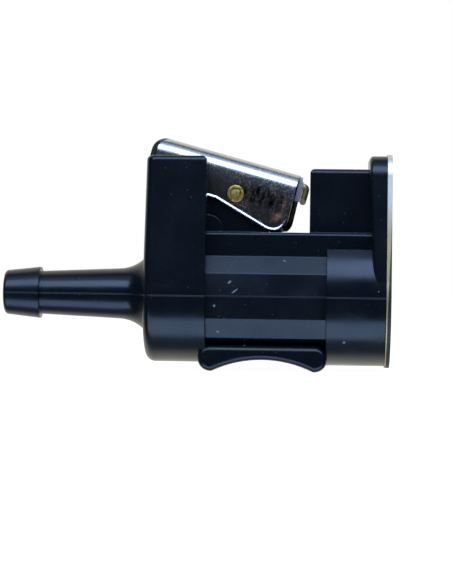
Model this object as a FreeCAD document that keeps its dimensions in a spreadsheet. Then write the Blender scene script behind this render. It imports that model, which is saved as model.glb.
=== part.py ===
import FreeCAD, Part
import math
import os

import Sketcher

# Fuel line connector with a latch lever, in millimetres.
# X runs along the fuel axis from the hose barb to the mating face, Z points to the lever, and the
# origin is where the fuel axis meets the moulded body's front face, under the face plate.

SIZES = {
    # hose barb and stem, along the fuel axis
    "passage_radius": 3.1,
    "barb_tip_radius": 4.7,
    "barb_radius": 5.4,
    "barb_length": 7.65,
    "barb_land": 0.5,
    "barb_nose_round": 0.9,
    "stem_length": 22.5,
    "stem_thin_radius": 4.55,
    "stem_thick_radius": 5.3,
    "stem_root_length": 6.0,
    "stem_root_radius": 8.15,
    "stem_root_curve": 7.75,
    # rear tower
    "tower_length": 12.9,
    "tower_radius": 14.15,
    "tower_height": 28.9,
    "tower_top_half_width": 11.6,
    "tower_lean": 0.5,
    "tower_edge_round": 1.1,
    "tower_back_round": 2.0,
    "slot_half_width": 7.15,
    "slot_floor": 18.8,
    # middle of the body and its deck
    "core_radius": 12.3,
    "deck_length": 37.1,
    "deck_height": 13.25,
    "deck_half_width": 9.0,
    "deck_edge_round": 0.7,
    "gusset_radius": 3.6,
    "gusset_thickness": 1.5,
    # front drum, its flange and the lock pin block
    "drum_radius": 14.5,
    "drum_length": 12.2,
    "drum_ledge": 9.7,
    "flange_height": 29.2,
    "flange_top_half_width": 11.2,
    "flange_thickness": 2.5,
    "flange_top_thickness": 3.7,
    "flange_corner_round": 4.5,
    "flange_edge_round": 0.9,
    "block_ahead": 15.45,
    "block_height": 26.5,
    "block_half_width": 7.3,
    "block_edge_round": 1.0,
    # finger saddle under the body
    "saddle_length": 26.8,
    "saddle_start": 11.9,
    "saddle_half_width": 9.4,
    "saddle_top": 10.2,
    "saddle_foot": 15.6,
    "saddle_crest": 13.2,
    "saddle_foot_spacing": 21.0,
    "saddle_end_round": 2.4,
    "saddle_foot_round": 2.7,
    "saddle_edge_round": 1.3,
    # bores for the valve and for the lock pin
    "chamber_radius": 6.0,
    "chamber_length": 22.0,
    "lock_bore_radius": 3.1,
    "lock_bore_height": 17.9,
    # face plate and its screws
    "plate_thickness": 1.0,
    "plate_overhang": 0.35,
    "plate_stem_hole": 4.5,
    "plate_lock_hole_gap": 0.2,
    "screw_circle": 11.4,
    "screw_spread": 32.0,
    "screw_top_drop": 4.9,
    "screw_radius": 1.2,
    "screw_length": 7.5,
    "screw_head_radius": 2.2,
    "screw_slot_reach": 2.4,
    "screw_slot_depth": 0.55,
    "screw_slot_width": 0.5,
    "screw_gap": 0.05,
    # seal collar with its two seals
    "collar_flange_radius": 8.4,
    "collar_flange_thickness": 2.0,
    "collar_radius": 7.0,
    "collar_length": 7.0,
    "collar_gap": 0.05,
    "socket_radius": 4.05,
    "seat_depth": 1.15,
    "stem_groove_depth": 1.6,
    "stem_groove_width": 1.7,
    "stem_groove_start": 2.2,
    "collar_groove_depth": 1.15,
    "collar_groove_width": 1.4,
    "collar_groove_start": 4.6,
    "seal_gap": 0.03,
    # valve
    "valve_neck_radius": 3.5,
    "valve_seal_section": 0.72,
    "valve_lip_radius": 3.9,
    "valve_lip_thickness": 0.45,
    "valve_head_radius": 5.3,
    "valve_head_thickness": 1.3,
    "valve_hub_radius": 2.4,
    "valve_fin_radius": 5.85,
    "valve_fin_length": 4.3,
    "valve_fin_thickness": 1.5,
    "valve_spring_radius": 4.4,
    "valve_wire_radius": 0.45,
    "valve_spring_turns": 6.0,
    "spring_gap": 0.05,
    # latch lever, in its own frame with the pivot at the origin
    "pivot_ahead": 5.8,
    "pivot_height": 21.2,
    "lever_slope": 15.2,
    "lever_half_width": 6.75,
    "sheet": 1.0,
    "lever_top": 7.3,
    "lever_bend": 2.1,
    "lever_nose": 13.0,
    "lever_nose_bend": 2.0,
    "lever_nose_tab": 2.05,
    "lever_tail": 19.6,
    "lever_tail_bend": 3.0,
    "lever_tail_tab": 1.0,
    "tab_half_width": 5.3,
    "cheek_front": 11.7,
    "cheek_front_far": 12.3,
    "cheek_back": 18.2,
    "cheek_back_round": 2.6,
    "cheek_rear_depth": 1.9,
    "cheek_slope_start": 3.8,
    "cheek_front_depth": 6.2,
    "cheek_corner_round": 3.2,
    "cheek_hole_radius": 2.0,
    # pivot pin, its two ears and the torsion spring
    "pin_radius": 1.8,
    "pin_proud": 0.35,
    "ear_radius": 3.4,
    "ear_inside": 3.3,
    "ear_outside": 5.4,
    "ear_front": 7.2,
    "ear_bore_gap": 0.03,
    "latch_wire_radius": 0.68,
    "latch_coil_radius": 2.65,
    "latch_coil_turns": 3.0,
    "latch_coil_pitch": 1.42,
    "latch_leg_height": 5.3,
    "latch_leg_bend": 1.8,
    "latch_leg_hole": 0.85,
    "latch_hook_gap": 0.12,
    "latch_hook_bend": 0.9,
    "latch_hook_end": 2.2,
    "latch_hook_turn": 1.3,
    "latch_hook_curl": 0.8,
    "latch_foot_gap": 0.3,
}

# Sizes that follow from others: the latch keeps its room between the tower and the block, and the plate's
# upper screw its place under the flange's edge
TIED_SIZES = {
    "pivot_back": "deck_length - pivot_ahead",
    "block_length": "pivot_back - block_ahead",
    "screw_top_height": "flange_height - screw_top_drop",
}

doc = FreeCAD.newDocument("fuel_line_connector")
sheet = doc.addObject("Spreadsheet::Sheet", "Sizes")
for row, (alias, content) in enumerate([*SIZES.items(), *TIED_SIZES.items()], start=1):
    sheet.set("A%d" % row, alias)
    sheet.set("B%d" % row, "=%s" % content)
    sheet.setAlias("B%d" % row, alias)
doc.recompute()


class Size:
    """A number together with the sheet expression that gives it, so that sums stay bound to the cells."""

    def __init__(self, value, text):
        self.value = value
        self.text = text

    def __add__(self, other):
        other = sized(other)
        return Size(self.value + other.value, "(%s + %s)" % (self.text, other.text))

    def __sub__(self, other):
        other = sized(other)
        return Size(self.value - other.value, "(%s - %s)" % (self.text, other.text))

    def __mul__(self, other):
        other = sized(other)
        return Size(self.value * other.value, "(%s * %s)" % (self.text, other.text))

    def __truediv__(self, other):
        other = sized(other)
        return Size(self.value / other.value, "(%s / %s)" % (self.text, other.text))

    def __neg__(self):
        return Size(-self.value, "(0 - %s)" % self.text)


def sized(value):
    """A plain number as a Size."""
    return value if isinstance(value, Size) else Size(float(value), repr(float(value)))


def size(alias):
    """The named size of the sheet."""
    return Size(float(sheet.get(alias)), "Sizes." + alias)


# Object builders

ALONG_X = FreeCAD.Rotation(FreeCAD.Vector(0, 1, 0), 90)
ALONG_Y = FreeCAD.Rotation(FreeCAD.Vector(1, 0, 0), -90)
SECTION_YZ = FreeCAD.Rotation(FreeCAD.Vector(1, 1, 1), 120)
SIDE_XZ = FreeCAD.Rotation(FreeCAD.Vector(1, 0, 0), 90)
FLAT = FreeCAD.Rotation()

# How near a corner lies to a place to count as being there, and how little an edge may leave its plane
AT_PLACE = 0.05
IN_PLANE = 0.01
CORE_SIDES = 16
# How far apart the ends of two runs of wire may lie and still join
FUSE_WITHIN = 0.001
# How near a sketch point must be to a corner to be its end
SAME_POINT = 1e-6
# Sides that stand for the round section of a seal ring and of a spring wire
RING_SIDES = 12
WIRE_SIDES = 8


def bind(obj, **expressions):
    """Bind properties of an object to sheet expressions."""
    for name, value in expressions.items():
        obj.setExpression(name.replace("__", "."), sized(value).text)
    return obj


def place(obj, x=0, y=0, z=0, turn=FLAT):
    """Set an object's place, bound to the sheet, and its rotation."""
    place_xyz = [sized(v) for v in (x, y, z)]
    obj.Placement = FreeCAD.Placement(FreeCAD.Vector(*[v.value for v in place_xyz]), turn)
    bind(obj, Placement__Base__x=x, Placement__Base__y=y, Placement__Base__z=z)
    return obj


def box(name, low, length, width, height):
    """A box from its lowest corner."""
    obj = doc.addObject("Part::Box", name)
    bind(obj, Length=length, Width=width, Height=height)
    return place(obj, *low)


def rod_x(name, radius, back, length, y=0, z=0):
    """A cylinder along X from its back end."""
    obj = doc.addObject("Part::Cylinder", name)
    bind(obj, Radius=radius, Height=length)
    return place(obj, back, y, z, ALONG_X)


def rod_y(name, radius, x, y, z, length):
    """A cylinder along Y from its lower end."""
    obj = doc.addObject("Part::Cylinder", name)
    bind(obj, Radius=radius, Height=length)
    return place(obj, x, y, z, ALONG_Y)


def cut(name, base, *tools):
    """The base without the tools."""
    for number, tool in enumerate(tools):
        obj = doc.addObject("Part::Cut", "%s_%d" % (name, number))
        obj.Base = base
        obj.Tool = tool
        base = obj
    return base


def fuse(name, *shapes):
    """All shapes as one solid, without the seams between them."""
    obj = doc.addObject("Part::MultiFuse", name)
    obj.Shapes = list(shapes)
    obj.Refine = True
    return obj


def common(name, *shapes):
    """What all shapes share."""
    obj = doc.addObject("Part::MultiCommon", name)
    obj.Shapes = list(shapes)
    return obj


def rounded(name, base, radius, wanted):
    """Fillet the edges of base for which wanted(edge) is true."""
    doc.recompute()
    obj = doc.addObject("Part::Fillet", name)
    obj.Base = base
    chosen = [i for i, edge in enumerate(base.Shape.Edges, start=1) if wanted(edge)]
    if not chosen:
        raise RuntimeError("no edge to round on " + base.Name)
    obj.Edges = [(i, radius.value, radius.value) for i in chosen]
    return obj


def outline(name, points, turn=FLAT, arcs=None):
    """A closed sketch through the points, each bound to the sheet. arcs gives sides that are arcs,
    as side number: (radius, +1 or -1 for a bulge to the left or right of the way from point to point)."""
    arcs = arcs or {}
    sketch = doc.addObject("Sketcher::SketchObject", name)
    sketch.Placement = FreeCAD.Placement(FreeCAD.Vector(), turn)
    points = [(sized(u), sized(v)) for u, v in points]
    spots = [FreeCAD.Vector(u.value, v.value, 0) for u, v in points]
    ends = []
    for side, start in enumerate(spots):
        finish = spots[(side + 1) % len(spots)]
        if side not in arcs:
            ends.append((sketch.addGeometry(Part.LineSegment(start, finish)), 1, 2))
            continue
        radius, bulge = arcs[side]
        half = (finish - start) * 0.5
        rise = radius.value - math.sqrt(radius.value**2 - half.Length**2)
        across = FreeCAD.Vector(-half.y, half.x, 0).normalize() * bulge
        curve = Part.Arc(start, start + half + across * rise, finish)
        number = sketch.addGeometry(curve)
        begins = sketch.getPoint(number, 1).distanceToPoint(start) < SAME_POINT
        ends.append((number, 1, 2) if begins else (number, 2, 1))
    for side, (number, first, last) in enumerate(ends):
        following = ends[(side + 1) % len(ends)]
        sketch.addConstraint(Sketcher.Constraint("Coincident", number, last, following[0], following[1]))
    for side, (u, v) in enumerate(points):
        number, first, _ = ends[side]
        for kind, value, axis in (("DistanceX", u, -2), ("DistanceY", v, -1)):
            if value.text == "0.0":
                sketch.addConstraint(Sketcher.Constraint("PointOnObject", number, first, axis))
                continue
            index = sketch.addConstraint(Sketcher.Constraint(kind, -1, 1, number, first, value.value))
            label = "%s_%d" % (kind, side)
            sketch.renameConstraint(index, label)
            sketch.setExpression("Constraints." + label, value.text)
    for side, (radius, _) in arcs.items():
        index = sketch.addConstraint(Sketcher.Constraint("Radius", ends[side][0], radius.value))
        sketch.renameConstraint(index, "Radius_%d" % side)
        sketch.setExpression("Constraints.Radius_%d" % side, radius.text)
    return sketch


def extruded(name, sketch, ahead, behind=0):
    """A prism on a sketch, along its normal."""
    obj = doc.addObject("Part::Extrusion", name)
    obj.Base = sketch
    obj.DirMode = "Normal"
    obj.Solid = True
    bind(obj, LengthFwd=ahead, LengthRev=behind)
    return obj


def turned(name, sketch):
    """A solid turned about the fuel axis from a sketch of axial places and radii."""
    obj = doc.addObject("Part::Revolution", name)
    obj.Source = sketch
    obj.Axis = FreeCAD.Vector(1, 0, 0)
    obj.Base = FreeCAD.Vector(0, 0, 0)
    obj.Angle = 360
    obj.Solid = True
    return obj


def labelled(node, obj):
    """Name the finished sub-part."""
    obj.Label = node
    return obj


def near(value, wanted, within=AT_PLACE):
    """Whether a number lies at a wanted place."""
    return abs(value - sized(wanted).value) < within


def reach(edge):
    """The lowest and highest corner of an edge."""
    bounds = edge.BoundBox
    return (bounds.XMin, bounds.YMin, bounds.ZMin), (bounds.XMax, bounds.YMax, bounds.ZMax)


def at_one_y(edge):
    """Whether an edge stays at one place across the part."""
    return edge.BoundBox.YLength < IN_PLANE


# Places along the fuel axis, from the front face back

TOWER_FRONT = -size("deck_length")
TOWER_BACK = TOWER_FRONT - size("tower_length")
STEM_ROOT = TOWER_BACK - size("stem_root_length")
BARB_STEP = TOWER_BACK - size("stem_length")
BARB_TIP = BARB_STEP - size("barb_length")
DRUM_BACK = -size("drum_length")
BLOCK_BACK = -size("block_length")
CHAMBER_BACK = -(size("collar_length") + size("chamber_length"))
PIVOT_X = -size("pivot_back")
PIVOT_Z = size("pivot_height")
REACH_OUT = sized(1.0)


def tombstone(name, radius, top_half_width, height, back, length):
    """A section that is round below the fuel axis and has straight, slightly leaning sides above it."""
    sides = outline(
        name + "_outline",
        [(-radius, 0), (radius, 0), (top_half_width, height), (-top_half_width, height)],
        SECTION_YZ,
    )
    upper = extruded(name + "_upper", sides, length)
    place(upper, x=back)
    lower = rod_x(name + "_lower", radius, back, length)
    return fuse(name, upper, lower)


def make_stem():
    """Hose barb and stem: a cone with a sharp step, a slightly tapered tube and a hollow root curve."""
    nose = size("barb_nose_round")
    tip = size("barb_tip_radius")
    inside = TOWER_BACK + REACH_OUT
    sketch = outline(
        "stem_outline",
        [
            (BARB_TIP, 0),
            (BARB_TIP, tip - nose),
            (BARB_TIP + nose, tip),
            (BARB_STEP - size("barb_land"), size("barb_radius")),
            (BARB_STEP, size("barb_radius")),
            (BARB_STEP, size("stem_thin_radius")),
            (STEM_ROOT, size("stem_thick_radius")),
            (TOWER_BACK, size("stem_root_radius")),
            (inside, size("stem_root_radius")),
            (inside, 0),
        ],
        arcs={1: (nose, 1), 6: (size("stem_root_curve"), -1)},
    )
    return turned("stem", sketch)


def make_tower():
    """Rear tower: the same section along its length, its back face leaning in towards the top."""
    height = size("tower_height")
    radius = size("tower_radius")
    section = tombstone(
        "tower_section", radius, size("tower_top_half_width"), height, TOWER_BACK, size("tower_length")
    )
    side = outline(
        "tower_side",
        [
            (TOWER_FRONT, -radius),
            (TOWER_FRONT, height),
            (TOWER_BACK + size("tower_lean"), height),
            (TOWER_BACK, 0),
            (TOWER_BACK, -radius),
        ],
        SIDE_XZ,
    )
    leaning = extruded("tower_leaning", side, radius, radius)
    plain = common("tower_plain", section, leaning)

    def at_back(edge):
        low, high = reach(edge)
        behind = high[0] < TOWER_BACK.value + size("tower_lean").value + AT_PLACE
        return behind and low[2] < height.value - AT_PLACE

    soft_back = rounded("tower_back_round", plain, size("tower_back_round"), at_back)

    def at_top(edge):
        low, high = reach(edge)
        return near(low[2], height) and near(high[2], height)

    return rounded("tower_round", soft_back, size("tower_edge_round"), at_top)


def make_core():
    """Middle of the body: a sixteen-sided barrel with the flat deck on top of it."""
    length = size("deck_length")
    barrel = doc.addObject("Part::Prism", "core_barrel")
    barrel.Polygon = CORE_SIDES
    bind(barrel, Circumradius=size("core_radius"), Height=length)
    place(barrel, TOWER_FRONT, turn=ALONG_X)
    half = size("deck_half_width")
    deck = box("deck", (TOWER_FRONT, -half, 0), length, half * 2, size("deck_height"))

    def long_top(edge):
        low, high = reach(edge)
        return near(low[2], size("deck_height")) and at_one_y(edge)

    soft_deck = rounded("deck_round", deck, size("deck_edge_round"), long_top)
    return fuse("core", barrel, soft_deck)


def make_gussets():
    """Quarter-round webs in the corner between the tower and the deck, one on each side."""
    radius = size("gusset_radius")
    thickness = size("gusset_thickness")
    inner = size("deck_half_width") - size("deck_edge_round") - thickness
    webs = []
    for side, start in (("near", -inner - thickness), ("far", inner)):
        webs.append(rod_y("gusset_" + side, radius, TOWER_FRONT, start, size("deck_height"), thickness))
    return webs


def make_drum():
    """Front drum, cut back above its ledge to the deck's wall."""
    radius = size("drum_radius")
    drum = rod_x("drum_full", radius, DRUM_BACK, size("drum_length"))
    corner = (DRUM_BACK, -radius, size("drum_ledge"))
    above = box("drum_above", corner, size("drum_length"), radius * 2, radius)
    return cut("drum", drum, above)


def make_flange():
    """Front flange: thicker towards its top, with rounded shoulders."""
    height = size("flange_height")
    radius = size("drum_radius")
    thick = size("flange_top_thickness")
    section = tombstone("flange_section", radius, size("flange_top_half_width"), height, -thick, thick)
    side = outline(
        "flange_side",
        [
            (0, -radius),
            (0, height),
            (-thick, height),
            (-size("flange_thickness"), 0),
            (-size("flange_thickness"), -radius),
        ],
        SIDE_XZ,
    )
    plain = common("flange_plain", section, extruded("flange_leaning", side, radius, radius))

    def shoulder(edge):
        low, high = reach(edge)
        return near(high[2], height) and near(low[2], height) and at_one_y(edge)

    soft = rounded("flange_shoulders", plain, size("flange_corner_round"), shoulder)

    def top_back(edge):
        low, high = reach(edge)
        return high[0] < -size("flange_thickness").value and near(high[2], height)

    return rounded("flange_round", soft, size("flange_edge_round"), top_back)


def make_block():
    """Block that guides the lock pin, standing on the deck behind the flange."""
    half = size("block_half_width")
    base = size("deck_height") - REACH_OUT
    height = size("block_height") - base
    plain = box("block_plain", (BLOCK_BACK, -half, base), size("block_length"), half * 2, height)

    def top_or_back(edge):
        low, high = reach(edge)
        at_top = near(low[2], size("block_height"))
        at_front = near(low[0], 0) and near(high[0], 0)
        return at_top and not at_front

    return rounded("block", plain, size("block_edge_round"), top_or_back)


def make_saddle():
    """Finger saddle: a rounded pad under the body, hollowed lengthwise between its two feet."""
    front = -size("saddle_start")
    back = front - size("saddle_length")
    top = -size("saddle_top")
    foot = -size("saddle_foot")
    half = size("saddle_half_width")
    soft = size("saddle_end_round")
    middle = front - size("saddle_length") / 2
    reach_foot = size("saddle_foot_spacing") / 2
    rise = -size("saddle_crest") - foot
    arch = (reach_foot * reach_foot + rise * rise) / (rise * 2)
    side = outline(
        "saddle_side",
        [
            (back, top - soft),
            (back + soft, top),
            (front - soft, top),
            (front, top - soft),
            (front, foot + soft),
            (middle + reach_foot, foot),
            (middle - reach_foot, foot),
            (back, foot + soft),
        ],
        SIDE_XZ,
        arcs={0: (soft, 1), 2: (soft, 1), 4: (size("saddle_foot_round"), 1), 5: (arch, -1),
              6: (size("saddle_foot_round"), 1)},
    )
    pad = extruded("saddle_pad", side, half, half)

    return rounded("saddle", pad, size("saddle_edge_round"), at_one_y)


def make_ears():
    """Two ears on the deck that carry the pivot pin between the lever's cheeks."""
    radius = size("ear_radius")
    base = size("deck_height") - REACH_OUT
    thickness = size("ear_outside") - size("ear_inside")
    solids = []
    for side, start in (("near", -size("ear_outside")), ("far", size("ear_inside"))):
        web = outline(
            "ear_outline_" + side,
            [
                (TOWER_FRONT - REACH_OUT, base),
                (PIVOT_X + size("ear_front"), base),
                (PIVOT_X + radius, PIVOT_Z),
                (TOWER_FRONT - REACH_OUT, PIVOT_Z),
            ],
            SIDE_XZ,
        )
        plate = extruded("ear_plate_" + side, web, thickness)
        place(plate, y=start + thickness)
        head = rod_y("ear_head_" + side, radius, PIVOT_X, start, PIVOT_Z, thickness)
        solids += [plate, head]
    return solids


def screw_places():
    """Where the plate's screws sit, as (y, z)."""
    angle = math.radians(sheet.get("screw_spread"))
    circle = size("screw_circle")
    across = circle * math.cos(angle)
    down = -circle * math.sin(angle)
    return [(across, down), (-across, down), (sized(0), size("screw_top_height"))]


def make_body():
    """The moulded body, one piece from hose barb to flange."""
    outside = fuse(
        "body_outside",
        make_stem(),
        make_tower(),
        make_core(),
        *make_gussets(),
        make_drum(),
        make_flange(),
        make_block(),
        make_saddle(),
    )
    slot_half = size("slot_half_width")
    slot = box(
        "lever_slot",
        (TOWER_BACK - REACH_OUT, -slot_half, size("slot_floor")),
        size("tower_length") + REACH_OUT,
        slot_half * 2,
        size("tower_height"),
    )
    slotted = cut("body_slotted", outside, slot)
    carried = fuse("body_eared", slotted, *make_ears())
    gap = size("collar_gap")
    recess = size("collar_flange_thickness") + gap
    bores = [
        rod_x("passage", size("passage_radius"), BARB_TIP - REACH_OUT, -BARB_TIP + REACH_OUT),
        rod_x("chamber", size("chamber_radius"), CHAMBER_BACK, -CHAMBER_BACK),
        rod_x("collar_bore", size("collar_radius") + gap, -size("collar_length"), size("collar_length")),
        rod_x("collar_recess", size("collar_flange_radius") + gap, -recess, recess),
        rod_x(
            "lock_bore", size("lock_bore_radius"), BLOCK_BACK - REACH_OUT,
            size("block_length") + REACH_OUT * 2, z=size("lock_bore_height"),
        ),
        rod_y(
            "pin_bore", size("pin_radius") + size("ear_bore_gap"),
            PIVOT_X, -size("ear_outside") - REACH_OUT, PIVOT_Z, (size("ear_outside") + REACH_OUT) * 2,
        ),
    ]
    depth = size("screw_length") - size("plate_thickness") + size("screw_gap")
    loose = size("screw_radius") + size("screw_gap")
    for number, (y, z) in enumerate(screw_places()):
        bores.append(rod_x("screw_bore_%d" % number, loose, -depth, depth, y, z))
    return labelled("connector_body", cut("body_bored", carried, *bores))


def make_plate():
    """Pressed steel face plate, a little larger than the flange, with countersunk screw holes."""
    over = size("plate_overhang")
    thick = size("plate_thickness")
    plain = tombstone(
        "plate_section", size("drum_radius") + over, size("flange_top_half_width") + over,
        size("flange_height") + over, 0, thick,
    )

    def shoulder(edge):
        low, high = reach(edge)
        return low[2] > size("flange_height").value and at_one_y(edge)

    soft = rounded("plate_round", plain, size("flange_corner_round") + over, shoulder)
    reach_through = thick + REACH_OUT * 2
    tools = [
        rod_x("plate_stem_hole", size("plate_stem_hole"), -REACH_OUT, reach_through),
        rod_x(
            "plate_lock_hole", size("lock_bore_radius") + size("plate_lock_hole_gap"),
            -REACH_OUT, reach_through, z=size("lock_bore_height"),
        ),
    ]
    for number, (y, z) in enumerate(screw_places()):
        tools.append(countersink("plate_sink_%d" % number, y, z, size("screw_gap")))
    return labelled("front_plate", cut("plate", soft, *tools))


def countersink(name, y, z, gap):
    """A cone that opens to the plate's outer face, from the screw's shank to its head."""
    cone = doc.addObject("Part::Cone", name)
    bind(
        cone, Radius1=size("screw_radius") + gap, Radius2=size("screw_head_radius") + gap,
        Height=size("plate_thickness"),
    )
    return place(cone, 0, y, z, ALONG_X)


def make_screws():
    """Three countersunk screws with a plain slot, as one group of separate solids."""
    screws = []
    shank = size("screw_length") - size("plate_thickness")
    half = size("screw_slot_reach")
    thin = size("screw_slot_width")
    for number, (y, z) in enumerate(screw_places()):
        head = countersink("screw_head_%d" % number, y, z, sized(0))
        body = rod_x("screw_shank_%d" % number, size("screw_radius"), -shank, shank, y, z)
        whole = fuse("screw_whole_%d" % number, head, body)
        slot = box(
            "screw_slot_%d" % number,
            (size("plate_thickness") - size("screw_slot_depth"), y - half, z - thin / 2),
            size("screw_slot_depth") + REACH_OUT, half * 2, thin,
        )
        screws.append(cut("screw_%d" % number, whole, slot))
    group = doc.addObject("Part::Compound", "screws")
    group.Links = screws
    return labelled("plate_screws", group)


def seat_start():
    """Where the valve's conical seat begins, behind the collar's bore."""
    return -size("collar_length") + size("seat_depth")


def make_collar():
    """Collar that guides the fuel stem, holds two seals and forms the valve's seat behind it."""
    bore = size("socket_radius")
    outside = size("collar_radius")
    back = -size("collar_length")
    inner_groove = -size("stem_groove_start")
    outer_groove = -size("collar_groove_start")
    flange = -size("collar_flange_thickness")
    sketch = outline(
        "collar_outline",
        [
            (0, bore),
            (0, size("collar_flange_radius")),
            (flange, size("collar_flange_radius")),
            (flange, outside),
            (outer_groove, outside),
            (outer_groove, outside - size("collar_groove_depth")),
            (outer_groove - size("collar_groove_width"), outside - size("collar_groove_depth")),
            (outer_groove - size("collar_groove_width"), outside),
            (back, outside),
            (back, bore + size("seat_depth")),
            (seat_start(), bore),
            (inner_groove - size("stem_groove_width"), bore),
            (inner_groove - size("stem_groove_width"), bore + size("stem_groove_depth")),
            (inner_groove, bore + size("stem_groove_depth")),
            (inner_groove, bore),
        ],
    )
    return labelled("seal_collar", turned("collar", sketch))


def ring(node, centre, mean_radius, section):
    """A seal ring about the fuel axis, its round section drawn with flat sides."""
    points = []
    for corner in range(RING_SIDES):
        angle = math.radians(360.0 * (corner + 0.5) / RING_SIDES)
        points.append((centre + section * math.cos(angle), mean_radius + section * math.sin(angle)))
    return labelled(node, turned(node + "_ring", outline(node + "_section", points)))


def make_seals():
    """The stem's seal in the collar's bore, and the seal between collar and body."""
    gap = size("seal_gap")
    stem_depth = size("stem_groove_depth")
    stem_centre = -size("stem_groove_start") - size("stem_groove_width") / 2
    stem_seal = ring("stem_seal", stem_centre, size("socket_radius") + stem_depth / 2, stem_depth / 2 - gap)
    floor = size("collar_radius") - size("collar_groove_depth")
    room = size("collar_groove_depth") + size("collar_gap")
    collar_centre = -size("collar_groove_start") - size("collar_groove_width") / 2
    collar_seal = ring("collar_seal", collar_centre, floor + room / 2, room / 2 - gap)
    return [stem_seal, collar_seal]


def valve_seal_radius():
    """Mean radius of the valve's seal ring, close on the plunger's neck."""
    return size("valve_neck_radius") + size("valve_seal_section") + size("seal_gap")


def valve_seal_centre():
    """Where the valve's seal ring lies against the conical seat, which slopes at 45 degrees."""
    slack = (size("valve_seal_section") + size("seal_gap") * 2) * math.sqrt(2)
    return seat_start() - slack - (valve_seal_radius() - size("socket_radius"))


def make_valve():
    """Valve plunger: a lip and head that hold the seal ring, and four fins that guide it in the chamber."""
    room = size("valve_seal_section") + size("seal_gap")
    lip_back = valve_seal_centre() + room
    head_front = valve_seal_centre() - room
    head_back = head_front - size("valve_head_thickness")
    fin_back = head_back - size("valve_fin_length")
    sketch = outline(
        "valve_outline",
        [
            (lip_back + size("valve_lip_thickness"), 0),
            (lip_back + size("valve_lip_thickness"), size("valve_lip_radius")),
            (lip_back, size("valve_lip_radius")),
            (lip_back, size("valve_neck_radius")),
            (head_front, size("valve_neck_radius")),
            (head_front, size("valve_head_radius")),
            (head_back, size("valve_head_radius")),
            (head_back, size("valve_hub_radius")),
            (fin_back, size("valve_hub_radius")),
            (fin_back, 0),
        ],
    )
    turned_part = turned("valve_turned", sketch)
    radius = size("valve_fin_radius")
    thin = size("valve_fin_thickness")
    length = size("valve_fin_length") + size("valve_head_thickness") / 2
    upright = box("valve_fin_upright", (fin_back, -thin / 2, -radius), length, thin, radius * 2)
    level = box("valve_fin_level", (fin_back, -radius, -thin / 2), length, radius * 2, thin)
    limit = rod_x("valve_fin_limit", radius, fin_back, length)
    fins = common("valve_fins", fuse("valve_cross", upright, level), limit)
    plunger = labelled("valve_plunger", fuse("valve", turned_part, fins))
    seal = ring("valve_seal", valve_seal_centre(), valve_seal_radius(), size("valve_seal_section"))
    return [plunger, seal], fin_back


def wire_section(centre, across, along, radius):
    """The section of a round wire, drawn with flat sides, across two directions at right angles."""
    corners = []
    for corner in range(WIRE_SIDES + 1):
        angle = math.radians(360.0 * corner / WIRE_SIDES)
        corners.append(centre + across * (radius * math.cos(angle)) + along * (radius * math.sin(angle)))
    return Part.makePolygon(corners)


def make_valve_spring(front):
    """Compression spring between the plunger's fins and the chamber's floor."""
    wire = sheet.get("valve_wire_radius")
    radius = sheet.get("valve_spring_radius")
    gap = sheet.get("spring_gap")
    start = CHAMBER_BACK.value + wire + gap
    length = front.value - wire - gap - start
    helix = Part.makeHelix(length / sheet.get("valve_spring_turns"), length, radius)
    outwards = FreeCAD.Vector(1, 0, 0)
    section = wire_section(outwards * radius, outwards, FreeCAD.Vector(0, 0, 1), wire)
    spring = doc.addObject("Part::Feature", "valve_coil")
    spring.Shape = Part.Wire(helix).makePipeShell([section], True, True)
    spring.Placement = FreeCAD.Placement(FreeCAD.Vector(start, 0, 0), ALONG_X)
    return labelled("valve_spring", spring)


def on_pivot(obj):
    """Put a piece that is drawn about the pivot at its place on the body, at the lever's slope."""
    obj.Placement = FreeCAD.Placement(
        FreeCAD.Vector(PIVOT_X.value, 0, PIVOT_Z.value),
        FreeCAD.Rotation(FreeCAD.Vector(0, 1, 0), sheet.get("lever_slope")),
    )
    bind(
        obj, Placement__Base__x=PIVOT_X, Placement__Base__z=PIVOT_Z,
        Placement__Rotation__Angle=size("lever_slope"),
    )
    return obj


def latch_coil_turned():
    """All the torsion spring's turns: from its front leg on top of the coil to its rear leg, which leaves
    the coil's back straight down to the deck."""
    return size("latch_coil_turns") + (size("lever_slope") + 90) / 360


def latch_coil_half():
    """Half the torsion spring's length along the pin: its legs leave the coil at the two ends."""
    return size("latch_coil_pitch") * latch_coil_turned() / 2


def lever_half(side, front, near_width, far_width):
    """One side of the lever as a solid block: bent over at the top, rounded at its low front corner and at
    its upper back corner, where the tail tab curls round it."""
    top = size("lever_top")
    back = -size("cheek_back")
    curl = size("cheek_back_round")
    deep = -size("cheek_front_depth")
    shallow = -size("cheek_rear_depth")
    slope_start = -size("cheek_slope_start")
    corners = [(back, top), (back, shallow), (slope_start, shallow), (front, deep), (front, top)]
    name = "cheek_" + side
    block = extruded(name + "_block", outline(name + "_profile", corners, SIDE_XZ), near_width, far_width)
    outside = near_width.value > 0

    def long_top(edge):
        low, high = reach(edge)
        at_side = near(low[1], -near_width) if outside else near(high[1], far_width)
        return near(low[2], top) and at_side and at_one_y(edge)

    bent = rounded(name + "_bent", block, size("lever_bend"), long_top)

    def low_corner(edge):
        low, high = reach(edge)
        return near(low[0], front) and near(high[2], deep)

    soft = rounded(name + "_soft", bent, size("cheek_corner_round"), low_corner)
    keep = outline(
        name + "_keep",
        [(back, deep), (front, deep), (front, top), (back + curl, top), (back, top - curl)],
        SIDE_XZ,
        arcs={3: (curl, 1)},
    )
    return common(name, soft, extruded(name + "_limit", keep, near_width, far_width))


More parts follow.
